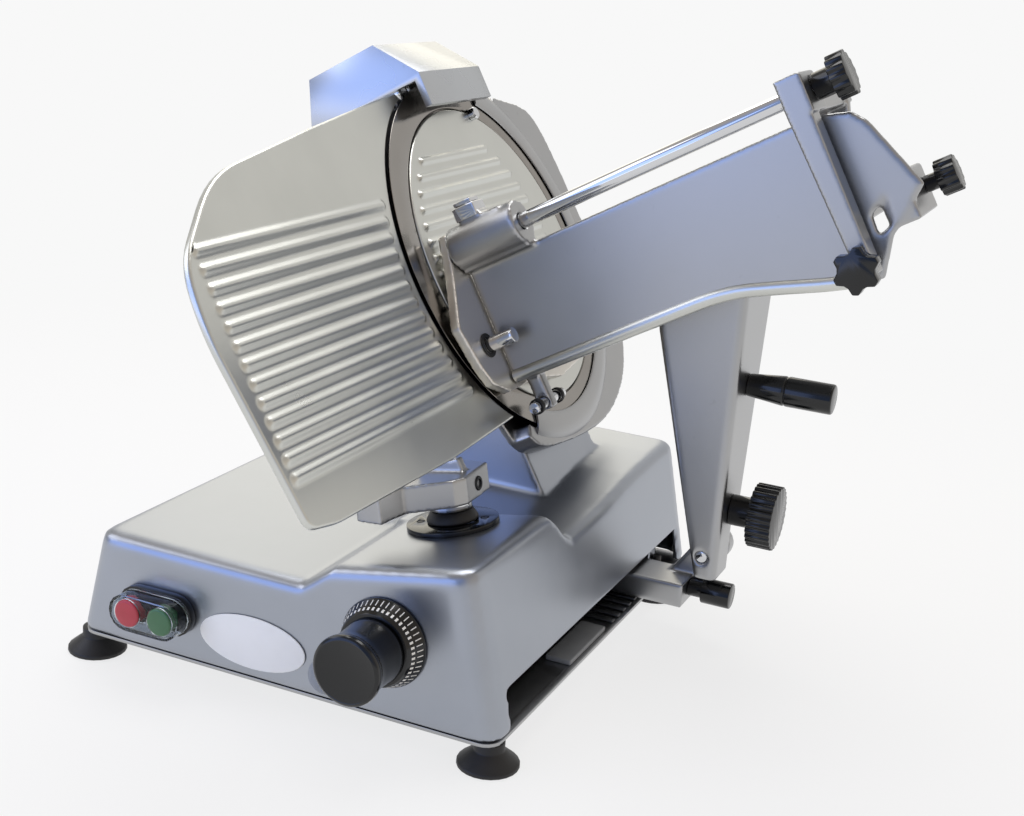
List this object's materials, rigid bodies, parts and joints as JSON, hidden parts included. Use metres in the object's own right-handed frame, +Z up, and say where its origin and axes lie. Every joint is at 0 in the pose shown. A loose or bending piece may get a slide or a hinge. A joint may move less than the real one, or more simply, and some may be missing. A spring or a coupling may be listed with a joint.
{
  "type": "gravity-feed meat slicer",
  "caption": "Electric gravity-feed slicer with an inclined round knife, ribbed gauge plate, index dial, sliding product table with pusher, sharpener hood and sheet-covered cast base",
  "frame": {"origin": "on the bench, under the centre of the front right foot", "axes": "+X to the operator's right, +Y away from the operator, +Z up"},
  "size_m": [0.5767, 0.5927, 0.4862],
  "materials": {
    "cast_aluminium": "satin cast",
    "machined_aluminium": "brushed",
    "chromed_steel": "polished",
    "polished_steel": "polished",
    "dark_steel": "satin",
    "black_plastic": "semi-gloss",
    "black_rubber": "matt",
    "grey_plastic": "satin",
    "red_plastic": "gloss",
    "green_plastic": "gloss",
    "abrasive": "grit"
  },
  "bodies": {
    "base": {"base_casting": "cast_aluminium", "bottom_cover": "cast_aluminium", "foot_front_right": "black_rubber", "foot_front_left": "black_rubber", "foot_rear_left": "black_rubber", "foot_rear_right": "black_rubber", "electrical_box": "grey_plastic", "switch_bezel": "black_plastic", "switch_cover": "grey_plastic", "badge_plate": "machined_aluminium", "access_plug": "grey_plastic", "boot_flange": "black_plastic", "boot_flange_screw_1": "dark_steel", "boot_flange_screw_2": "dark_steel", "gauge_slide_rod": "chromed_steel", "carriage_rail": "chromed_steel", "guide_bar": "dark_steel", "front_bearing": "polished_steel", "rear_bearing": "polished_steel", "motor": "grey_plastic", "motor_cradle": "dark_steel", "belt": "black_rubber", "knife_cover": "cast_aluminium", "ring_guard": "cast_aluminium", "sharpener_mount": "cast_aluminium", "hood_pin": "chromed_steel", "housing_rear_cover": "cast_aluminium"},
    "knife_rotor": {"knife": "polished_steel", "knife_shaft": "dark_steel", "knife_pulley": "dark_steel"},
    "motor_rotor": {"motor_pulley": "dark_steel"},
    "tie_rod": {"tie_rod_knob": "black_plastic"},
    "stop_button": {"stop_button": "red_plastic"},
    "start_button": {"start_button": "green_plastic"},
    "gauge": {"gauge_plate": "machined_aluminium", "gauge_support": "cast_aluminium", "collar": "chromed_steel", "boot": "black_rubber"},
    "index": {"index_dial": "black_plastic", "index_knob": "black_plastic", "index_cam": "dark_steel"},
    "carriage": {"carriage_foot": "cast_aluminium", "arm_pivot_pin": "chromed_steel"},
    "carriage_lock": {"carriage_lock_knob": "black_plastic"},
    "table": {"arm": "cast_aluminium", "handle": "black_plastic", "product_table": "cast_aluminium", "end_plate": "cast_aluminium", "stop_pin": "chromed_steel", "bumper_pin": "chromed_steel", "bumper_ring_1": "black_rubber", "bumper_ring_2": "black_rubber", "pusher_rod": "chromed_steel"},
    "table_clamp": {"table_clamp_knob": "black_plastic"},
    "rod_knob": {"rod_knob": "black_plastic"},
    "corner_knob": {"corner_knob": "black_plastic"},
    "pusher": {"pusher": "cast_aluminium"},
    "star_knob": {"star_knob": "black_plastic"},
    "hood": {"sharpener_hood": "cast_aluminium"},
    "stone": {"grinding_stone": "abrasive"}
  },
  "joints": [
    {"name": "knife_spin", "type": "hinge", "parent": "base", "child": "knife_rotor", "pos_m": [-0.136, 0.273, 0.295], "axis": [0.866, 0, 0.5], "continuous": true},
    {"name": "motor_spin", "type": "hinge", "parent": "base", "child": "motor_rotor", "pos_m": [-0.028, 0.273, 0.10794], "axis": [0.866, 0, 0.5], "continuous": true},
    {"name": "tie_rod_turn", "type": "hinge", "parent": "base", "child": "tie_rod", "pos_m": [-0.136, 0.273, 0.295], "axis": [0.866, 0, 0.5], "range_deg": [-180, 180]},
    {"name": "stop_button_press", "type": "slide", "parent": "base", "child": "stop_button", "axis": [0, 1, 0], "range_m": [0, 0.004], "stiffness_N_per_m": 300},
    {"name": "start_button_press", "type": "slide", "parent": "base", "child": "start_button", "axis": [0, 1, 0], "range_m": [0, 0.004], "stiffness_N_per_m": 300},
    {"name": "gauge_slide", "type": "slide", "parent": "base", "child": "gauge", "axis": [-0.9816, 0, -0.1908], "range_m": [-0.0015, 0.0065]},
    {"name": "index_turn", "type": "hinge", "parent": "base", "child": "index", "pos_m": [-0.076, -0.0163, 0.078], "axis": [0, 1, 0], "range_deg": [-120, 30]},
    {"name": "carriage_slide", "type": "slide", "parent": "base", "child": "carriage", "axis": [0, -1, 0], "range_m": [-0.024, 0.215]},
    {"name": "carriage_lock_turn", "type": "hinge", "parent": "carriage", "child": "carriage_lock", "pos_m": [0.0483, 0.282, 0.04], "axis": [1, 0, 0], "range_deg": [-180, 180]},
    {"name": "table_tilt", "type": "hinge", "parent": "carriage", "child": "table", "pos_m": [0.062, 0.296, 0.078], "axis": [0, 1, 0], "range_deg": [0, 30]},
    {"name": "table_clamp_turn", "type": "hinge", "parent": "table", "child": "table_clamp", "pos_m": [0.0758, 0.283, 0.114], "axis": [1, 0, 0], "range_deg": [-180, 180]},
    {"name": "rod_knob_turn", "type": "hinge", "parent": "table", "child": "rod_knob", "pos_m": [0.125, 0.176, 0.45954], "axis": [0.866, 0, 0.5], "range_deg": [-180, 180]},
    {"name": "corner_knob_turn", "type": "hinge", "parent": "table", "child": "corner_knob", "pos_m": [0.19771, 0.232, 0.3976], "axis": [0.866, 0, 0.5], "range_deg": [-180, 180]},
    {"name": "pusher_slide", "type": "slide", "parent": "table", "child": "pusher", "axis": [-0.866, 0, -0.5], "range_m": [0, 0.195]},
    {"name": "star_knob_turn", "type": "hinge", "parent": "pusher", "child": "star_knob", "pos_m": [0.17621, 0.1507, 0.34824], "axis": [0, -1, 0], "range_deg": [-180, 180]},
    {"name": "hood_lift", "type": "hinge", "parent": "base", "child": "hood", "pos_m": [-0.28221, 0.273, 0.37224], "axis": [0, -1, 0], "range_deg": [0, 80]},
    {"name": "stone_spin", "type": "hinge", "parent": "base", "child": "stone", "pos_m": [-0.23678, 0.279, 0.42156], "axis": [0.866, 0, 0.5], "continuous": true}
  ],
  "couplings": [
    {"joint": "motor_spin", "follows": "knife_spin", "ratio": 4.1667},
    {"joint": "index_turn", "follows": "gauge_slide", "rad_per_m": -314.16}
  ]
}
